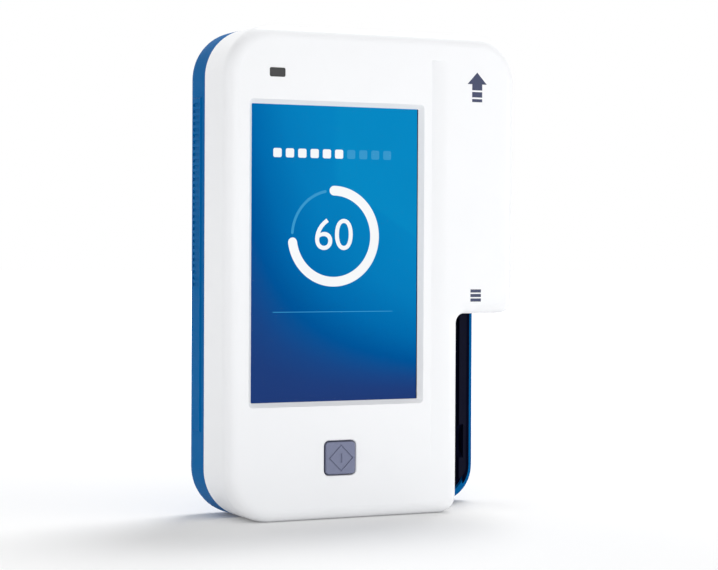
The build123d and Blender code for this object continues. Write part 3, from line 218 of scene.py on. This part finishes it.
def circuit_board(name):
    """Green solder mask over fine copper tracks, with rows of tinned pads."""
    made = Nodes(name)
    apart = made.add("ShaderNodeSeparateXYZ", {0: made.place})
    flat = made.add("ShaderNodeCombineXYZ", {0: apart.outputs[0], 1: apart.outputs[2]})
    cells = made.add(
        "ShaderNodeTexBrick",
        {
            "Vector": flat.outputs[0],
            "Scale": 190.0,
            "Mortar Size": 0.03,
            "Color1": MASK_GREEN,
            "Color2": MASK_DARK_GREEN,
            "Mortar": TRACK_GREEN,
        },
    )
    dots = made.add(
        "ShaderNodeTexVoronoi", {"Vector": flat.outputs[0], "Scale": 330.0, "Randomness": 0.35}
    )
    pads = made.remap(dots.outputs["Distance"], PAD_RADIUS, PAD_RADIUS + PAD_EDGE, 1.0, 0.0)
    made.shade("Base Color", made.mix(pads, cells.outputs["Color"], PAD_TIN))
    made.shade("Roughness", made.spread(made.noise(scale=200.0), low=0.25, high=0.4))
    made.shade("Normal", made.bump(cells.outputs["Fac"], strength=0.4, distance=0.03 * MM))
    return made.material


def foam(name, colour):
    """Fine closed foam or rubber, matt and slightly pitted."""
    made = Nodes(name)
    pits = made.add("ShaderNodeTexVoronoi", {"Vector": made.place, "Scale": 1500.0})
    made.shade("Base Color", made.patchy(scale=120.0, colour=colour, vary=0.2))
    made.shade("Roughness", made.spread(made.noise(scale=400.0), low=0.75, high=0.9))
    made.shade("Normal", made.bump(pits.outputs["Distance"], strength=0.3, distance=0.03 * MM))
    return made.material


def lit(made, colour, roughness):
    """Turns a material into one that only shines, at the level of its own colour."""
    made.shade("Base Color", (0, 0, 0, 1))
    made.shade("Emission Color", colour)
    made.shade("Emission Strength", 1.0)
    made.shade("Specular IOR Level", 0.0)
    made.shade("Roughness", roughness)
    return made.material


def glow(name, colour):
    """A lit part of the screen's picture."""
    made = Nodes(name)
    return lit(made, made.patchy(scale=30.0, colour=colour, vary=0.04), roughness=0.6)


# Where the screen's sweep starts (mm), and the product of distances at which it is full
SWEEP_X = -52.0
SWEEP_Z = 34.3
SWEEP_REACH = 3000.0
SWEEP_STOPS = (
    (0.0, linear(34, 60, 119)),
    (0.06, linear(32, 63, 124)),
    (0.125, linear(26, 70, 134)),
    (0.24, linear(0, 85, 154)),
    (0.40, linear(1, 108, 175)),
    (0.65, linear(5, 125, 188)),
    (1.0, linear(6, 133, 194)),
)

# The slightly lighter facet in the screen's upper right: its slanting foot and its left side (mm)
FACET_SLOPE = 0.62
FACET_FOOT = 90.7
FACET_FOOT_BLUR = 0.5
FACET_SIDE = -13.0
FACET_SIDE_BLUR = 3.0
FACET_SHARE = 0.45
FACET_BLUE = linear(9, 143, 199)


def screen_material():
    """The lit display: navy in the lower left corner, sweeping up to a clear blue."""
    made = Nodes("screen")
    apart = made.add("ShaderNodeSeparateXYZ", {0: made.place})
    across, upward = apart.outputs[0], apart.outputs[2]
    # The product of both distances from the corner gives the wide hollow curves of the sweep
    from_left = made.math("SUBTRACT", across, SWEEP_X * MM)
    from_foot = made.math("MAXIMUM", made.math("SUBTRACT", upward, SWEEP_Z * MM), 0.0)
    sweep = made.math("MULTIPLY", from_left, from_foot)
    ramp = made.add("ShaderNodeValToRGB", {0: made.remap(sweep, 0.0, SWEEP_REACH * MM * MM)})
    band = ramp.color_ramp
    band.elements[0].position, band.elements[0].color = SWEEP_STOPS[0]
    band.elements[1].position, band.elements[1].color = SWEEP_STOPS[-1]
    for position, colour in SWEEP_STOPS[1:-1]:
        band.elements.new(position).color = colour
    slant = made.math("ADD", upward, made.math("MULTIPLY", across, FACET_SLOPE))
    above = made.remap(slant, FACET_FOOT * MM, (FACET_FOOT + FACET_FOOT_BLUR) * MM)
    beside = made.remap(across, FACET_SIDE * MM, (FACET_SIDE + FACET_SIDE_BLUR) * MM)
    facet = made.math("MULTIPLY", made.math("MULTIPLY", above, beside), FACET_SHARE)
    return lit(made, made.mix(facet, ramp.outputs[0], FACET_BLUE), roughness=0.4)


WHITE = linear(243, 244, 246)
BLUE = linear(0, 98, 162)
# Near-black navy for black parts. On the bay liner it is also painted shade: it stands where the bay's
# blue floor lies in deep shade.
BLACK_AND_BAY_SHADE = linear(1, 3, 26)
TRAY_BLACK = linear(10, 12, 32)
SMOKE = linear(84, 84, 85)
KEY_GREY = linear(125, 130, 155)
INK = linear(52, 60, 92)

MATERIALS = {
    "white_plastic": moulded("white_plastic", WHITE, roughness=0.38, depth=0.012, vary=0.015),
    "blue_plastic": moulded(
        "blue_plastic", BLUE, roughness=0.5, grain=1400.0, depth=0.03, vary=0.08, specular=0.02
    ),
    # On the bay liner this black is partly painted shade, standing in for the deep shade on the bay's
    # blue floor.
    "black_plastic": moulded("black_plastic", BLACK_AND_BAY_SHADE, roughness=0.6, vary=0.2, specular=0.02),
    "tray_black": moulded("tray_black", TRAY_BLACK, roughness=0.5, vary=0.15, specular=0.04),
    "touch_glass": clear("touch_glass", (0.97, 0.985, 1.0, 1), roughness=0.03, ior=1.02),
    "head_glass": clear("head_glass", (0.9, 0.95, 0.93, 1), roughness=0.02, ior=1.45),
    "status_window": clear("status_window", SMOKE, roughness=0.2, ior=1.45, transmission=0.4),
    "foam": foam("foam", (0.012, 0.012, 0.012, 1)),
    "foot_rubber": foam("foot_rubber", (0.02, 0.02, 0.021, 1)),
    "plated_steel": metal("plated_steel", (0.6, 0.61, 0.63, 1), roughness=0.35, brushed=(1, 1, 0.04)),
    "motor_steel": metal("motor_steel", (0.45, 0.45, 0.46, 1), roughness=0.3, brushed=(1, 0.03, 1)),
    "nickel": metal("nickel", (0.72, 0.71, 0.68, 1), roughness=0.2, brushed=(1, 1, 0.05)),
    "brass": metal("brass", (0.75, 0.55, 0.24, 1), roughness=0.3, brushed=(1, 0.05, 1)),
    "gold_plate": metal("gold_plate", (0.85, 0.62, 0.25, 1), roughness=0.25, brushed=(0.1, 1, 1)),
    "screw_steel": metal("screw_steel", (0.2, 0.2, 0.21, 1), roughness=0.4, brushed=(1, 0.1, 1)),
    "flex_film": moulded("flex_film", (0.42, 0.16, 0.02, 1), roughness=0.3, grain=300.0, vary=0.15),
    "board_green": circuit_board("board_green"),
    "chip_black": moulded("chip_black", (0.02, 0.02, 0.022, 1), roughness=0.55, grain=3000.0, vary=0.2),
    "led_white": moulded("led_white", (0.8, 0.78, 0.6, 1), roughness=0.25, vary=0.1),
    "key_grey": moulded("key_grey", KEY_GREY, roughness=0.5, grain=1500.0, specular=0.15),
    "nylon_white": moulded("nylon_white", (0.78, 0.78, 0.74, 1), roughness=0.45),
    "ceramic_white": moulded("ceramic_white", (0.9, 0.9, 0.88, 1), roughness=0.6, grain=2500.0),
    "acetal": moulded("acetal", (0.8, 0.8, 0.75, 1), roughness=0.35),
    "socket_cream": moulded("socket_cream", (0.7, 0.64, 0.5, 1), roughness=0.45),
    "ribbon_white": moulded("ribbon_white", (0.74, 0.76, 0.8, 1), roughness=0.35, vary=0.1),
    "pack_grey": moulded("pack_grey", (0.1, 0.1, 0.11, 1), roughness=0.35, grain=200.0, vary=0.2),
    "screen": screen_material(),
}


def dress_nodes():
    """Every CAD node gets its slot's material."""
    slots = {row["node"]: row["material_slot"] for row in frame["record"]["subparts"]}
    for name, obj in nodes.items():
        obj.data.materials.clear()
        obj.data.materials.append(MATERIALS[slots[name]])


# Small flat pieces: marks on the hood and the picture on the screen

FRONT_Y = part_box("front_cover")[0].y
SCREEN_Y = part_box("lcd_panel")[0].y
MARK_LIFT = 0.02 * MM
PICTURE_LIFT = 0.05 * MM
PICTURE_THICKNESS = 0.03 * MM
CORNER_STEPS = 5
ARC_STEP = 3.0
CAP_STEPS = 8
DIGIT_STEPS = 6


def settle(name, mesh, material, body):
    """Puts a mesh into the scene as a piece that rides on a body."""
    mesh.materials.clear()
    mesh.materials.append(material)
    obj = bpy.data.objects.new(name, mesh)
    bpy.context.scene.collection.objects.link(obj)
    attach(obj, body)


def flat_piece(name, loops, y, thickness, material, body):
    """Closed outlines in X and Z (mm), made into thin plates that face the front."""
    mesh = bpy.data.meshes.new(name)
    shape = bmesh.new()
    for loop in loops:
        front = [shape.verts.new((x * MM, y - thickness, z * MM)) for x, z in loop]
        back = [shape.verts.new((x * MM, y, z * MM)) for x, z in loop]
        shape.faces.new(front)
        shape.faces.new(list(reversed(back)))
        count = len(loop)
        for index in range(count):
            following = (index + 1) % count
            shape.faces.new((front[index], back[index], back[following], front[following]))
    bmesh.ops.recalc_face_normals(shape, faces=shape.faces)
    shape.to_mesh(mesh)
    shape.free()
    settle(name, mesh, material, body)


def rectangle(x0, x1, z0, z1):
    return [(x0, z0), (x1, z0), (x1, z1), (x0, z1)]


def round_rectangle(x0, x1, z0, z1, radius):
    points = []
    corners = [(x1, z0, -90), (x1, z1, 0), (x0, z1, 90), (x0, z0, 180)]
    for x, z, start in corners:
        middle_x = x - radius if x == x1 else x + radius
        middle_z = z + radius if z == z0 else z - radius
        for step in range(CORNER_STEPS + 1):
            angle = math.radians(start + 90 * step / CORNER_STEPS)
            across, upward = radius * math.cos(angle), radius * math.sin(angle)
            points.append((middle_x + across, middle_z + upward))
    return points


def ring_arc(x, z, inner, outer, start, end):
    """A stretch of a ring with round ends, angles in degrees from the top, clockwise."""
    count = int((end - start) / ARC_STEP)
    middle = (inner + outer) / 2
    half = (outer - inner) / 2

    def spot(radius, angle):
        turn = math.radians(90 - angle)
        return (x + radius * math.cos(turn), z + radius * math.sin(turn))

    def cap(angle, first_turn):
        centre = spot(middle, angle)
        swings = [first_turn + math.pi * i / CAP_STEPS for i in range(1, CAP_STEPS)]
        turns = [math.radians(90 - angle) - swing for swing in swings]
        return [(centre[0] + half * math.cos(t), centre[1] + half * math.sin(t)) for t in turns]

    angles = [start + (end - start) * i / count for i in range(count + 1)]
    far_side = [spot(outer, a) for a in angles]
    near_side = [spot(inner, a) for a in reversed(angles)]
    return far_side + cap(end, 0.0) + near_side + cap(start, math.pi)


def digits_piece(name, text, x, z, size, y, material, body):
    """Plain digits as a thin plate, centred on a place."""
    curve = bpy.data.curves.new(name, "FONT")
    curve.body = text
    curve.align_x = "CENTER"
    curve.align_y = "CENTER"
    curve.size = size * MM
    curve.extrude = PICTURE_THICKNESS / 2
    curve.resolution_u = DIGIT_STEPS
    holder = bpy.data.objects.new(name + ".curve", curve)
    bpy.context.scene.collection.objects.link(holder)
    holder.matrix_world = (
        Matrix.Translation((x * MM, y, z * MM)) @ Matrix.Rotation(math.radians(90), 4, "X")
    )
    bpy.context.view_layer.update()
    ready = holder.evaluated_get(bpy.context.evaluated_depsgraph_get())
    mesh = bpy.data.meshes.new_from_object(ready)
    mesh.transform(holder.matrix_world)
    bpy.data.objects.remove(holder)
    settle(name, mesh, material, body)


# The hood's marks (mm): an arrow, two bars that trail it, and three bars by the bay
ARROW_X = 33.25
ARROW_TIP = 131.0
ARROW_SHOULDER = 127.5
ARROW_FOOT = 125.7
ARROW_HEAD_HALF = 3.25
ARROW_STEM_HALF = 1.7
TRAIL_BARS = ((123.6, 125.2), (122.2, 123.1))
BAY_BARS_LEFT = 31.35
BAY_BARS_RIGHT = 34.9
BAY_BARS_FOOT = 62.8
BAY_BAR_HEIGHT = 0.95
BAY_BAR_PITCH = 1.35
BAY_BAR_COUNT = 3


def hood_marks():
    """The printed arrow and bars that show which way the strip travels."""
    ink = moulded("mark_ink", INK, roughness=0.5, grain=2000.0, depth=0.004, vary=0.08)
    stem_left = ARROW_X - ARROW_STEM_HALF
    stem_right = ARROW_X + ARROW_STEM_HALF
    arrow = [
        (ARROW_X, ARROW_TIP),
        (ARROW_X - ARROW_HEAD_HALF, ARROW_SHOULDER),
        (stem_left, ARROW_SHOULDER),
        (stem_left, ARROW_FOOT),
        (stem_right, ARROW_FOOT),
        (stem_right, ARROW_SHOULDER),
        (ARROW_X + ARROW_HEAD_HALF, ARROW_SHOULDER),
    ]
    loops = [arrow]
    loops += [rectangle(stem_left, stem_right, foot, top) for foot, top in TRAIL_BARS]
    for index in range(BAY_BAR_COUNT):
        foot = BAY_BARS_FOOT + BAY_BAR_PITCH * index
        loops.append(rectangle(BAY_BARS_LEFT, BAY_BARS_RIGHT, foot, foot + BAY_BAR_HEIGHT))
    flat_piece("hood_marks", loops, FRONT_Y, MARK_LIFT, ink, "case")


# The screen's picture (mm, and degrees from the top of the ring)
RING_X = -12.3
RING_Z = 82.0
RING_INNER = 11.8
RING_OUTER = 14.6
RING_END = 262
REST_INNER = 12.8
REST_OUTER = 13.6
REST_START = 274
REST_END = 348
DIGITS_SIZE = 13.0
LINE_LEFT = -31.5
LINE_RIGHT = 6.9
LINE_Z = 60.0
LINE_HEIGHT = 0.2
SQUARE_Z = 104.5
SQUARE_SIDE = 2.6
SQUARE_PITCH = 3.9
SQUARE_CORNER = 0.5
SQUARE_COUNT = 10
SQUARES_LIT = 6
PICTURE_Y = SCREEN_Y - PICTURE_LIFT


def picture_piece(name, loop, material):
    flat_piece(name, [loop], PICTURE_Y, PICTURE_THICKNESS, material, "case")


def screen_picture():
    """A countdown: a ring of progress round plain digits, a thin line and a row of squares."""
    white = glow("picture_white", (1.0, 1.0, 1.0, 1))
    dim = glow("picture_dim", linear(60, 156, 208))
    ring = ring_arc(RING_X, RING_Z, RING_INNER, RING_OUTER, 0, RING_END)
    picture_piece("picture_ring", ring, white)
    rest = ring_arc(RING_X, RING_Z, REST_INNER, REST_OUTER, REST_START, REST_END)
    picture_piece("picture_ring_rest", rest, dim)
    digits_piece(
        "picture_digits", "60", RING_X, RING_Z, DIGITS_SIZE, PICTURE_Y, white, "case"
    )
    line = rectangle(LINE_LEFT, LINE_RIGHT, LINE_Z, LINE_Z + LINE_HEIGHT)
    picture_piece("picture_line", line, dim)
    for index in range(SQUARE_COUNT):
        left = LINE_LEFT + SQUARE_PITCH * index
        right, top = left + SQUARE_SIDE, SQUARE_Z + SQUARE_SIDE
        square = round_rectangle(left, right, SQUARE_Z, top, SQUARE_CORNER)
        picture_piece(f"picture_step_{index}", square, white if index < SQUARES_LIT else dim)


# Floor and light

FLOOR_HALF = 6.0
FLOOR_ALBEDO = 0.9
FLOOR_COLOUR = (FLOOR_ALBEDO, FLOOR_ALBEDO, FLOOR_ALBEDO, 1)
# The floor's own light as the camera sees it, which rises to full white between two distances
FLOOR_LIFT = 0.06
FADE_START = 0.2
FADE_END = 1.6
WORLD_STRENGTH = 0.535
LAMP_AIM = Vector((0.0, 0.0, 0.07))


def seen_share(tree):
    """1 for rays from the camera, a mirror or glass; 0 for those that light the object."""
    paths = tree.nodes.new("ShaderNodeLightPath")
    share = paths.outputs["Is Camera Ray"]
    for ray in ("Is Glossy Ray", "Is Transmission Ray"):
        either = tree.nodes.new("ShaderNodeMath")
        either.operation = "MAXIMUM"
        tree.links.new(share, either.inputs[0])
        tree.links.new(paths.outputs[ray], either.inputs[1])
        share = either.outputs[0]
    return share


def make_floor():
    """A plain white floor that keeps the soft shadow and fades into the backdrop."""
    mesh = bpy.data.meshes.new("floor")
    near, far = -FLOOR_HALF, FLOOR_HALF
    corners = [(near, near, 0), (far, near, 0), (far, far, 0), (near, far, 0)]
    mesh.from_pydata(corners, [], [(0, 1, 2, 3)])
    floor = bpy.data.objects.new("floor", mesh)
    bpy.context.scene.collection.objects.link(floor)
    made = Nodes("floor")
    made.shade("Base Color", made.patchy(scale=8.0, colour=FLOOR_COLOUR, vary=0.01))
    made.shade("Roughness", 0.9)
    made.shade("Specular IOR Level", 0.0)
    made.shade("Emission Color", (1, 1, 1, 1))
    away = made.add("ShaderNodeVectorMath", {0: made.place}, operation="LENGTH")
    lift = made.remap(away.outputs["Value"], FADE_START, FADE_END, FLOOR_LIFT, 1.0)
    made.shade("Emission Strength", made.math("MULTIPLY", seen_share(made.tree), lift))
    mesh.materials.append(made.material)


def make_world():
    """Even pale light all round; the camera, mirrors and glass see plain white."""
    world = bpy.data.worlds.new("world")
    bpy.context.scene.world = world
    world.use_nodes = True
    tree = world.node_tree
    back = tree.nodes["Background"]
    back.inputs["Color"].default_value = (1, 1, 1, 1)
    strength = tree.nodes.new("ShaderNodeMapRange")
    strength.inputs["To Min"].default_value = WORLD_STRENGTH
    strength.inputs["To Max"].default_value = 1.0
    tree.links.new(seen_share(tree), strength.inputs["Value"])
    tree.links.new(strength.outputs["Result"], back.inputs["Strength"])


def soft_box(name, place, size, power):
    """A rectangular lamp that faces the middle of the case."""
    data = bpy.data.lights.new(name, "AREA")
    data.shape = "RECTANGLE"
    data.size, data.size_y = size
    data.energy = power
    lamp = bpy.data.objects.new(name, data)
    bpy.context.scene.collection.objects.link(lamp)
    direction = LAMP_AIM - Vector(place)
    lamp.matrix_world = (
        Matrix.Translation(place) @ direction.to_track_quat("-Z", "Y").to_matrix().to_4x4()
    )


def make_lights():
    """Low lamps in front spare the floor's shadow; the key's slant shows the crease."""
    soft_box("key", (1.05, -1.0, 0.13), size=(0.8, 0.2), power=5.6)
    soft_box("front", (-0.5, -1.4, 0.13), size=(1.0, 0.2), power=3.1)
    soft_box("fill", (-1.3, -0.35, 0.3), size=(0.9, 0.5), power=2.2)
    soft_box("top", (0.45, 0.35, 1.2), size=(0.5, 0.5), power=9.2)
    soft_box("rear", (-0.5, 1.3, 0.8), size=(1.2, 0.9), power=2.0)


bpy.context.scene.view_settings.view_transform = "Standard"
make_camera()
dress_nodes()
hood_marks()
screen_picture()
make_floor()
make_world()
make_lights()
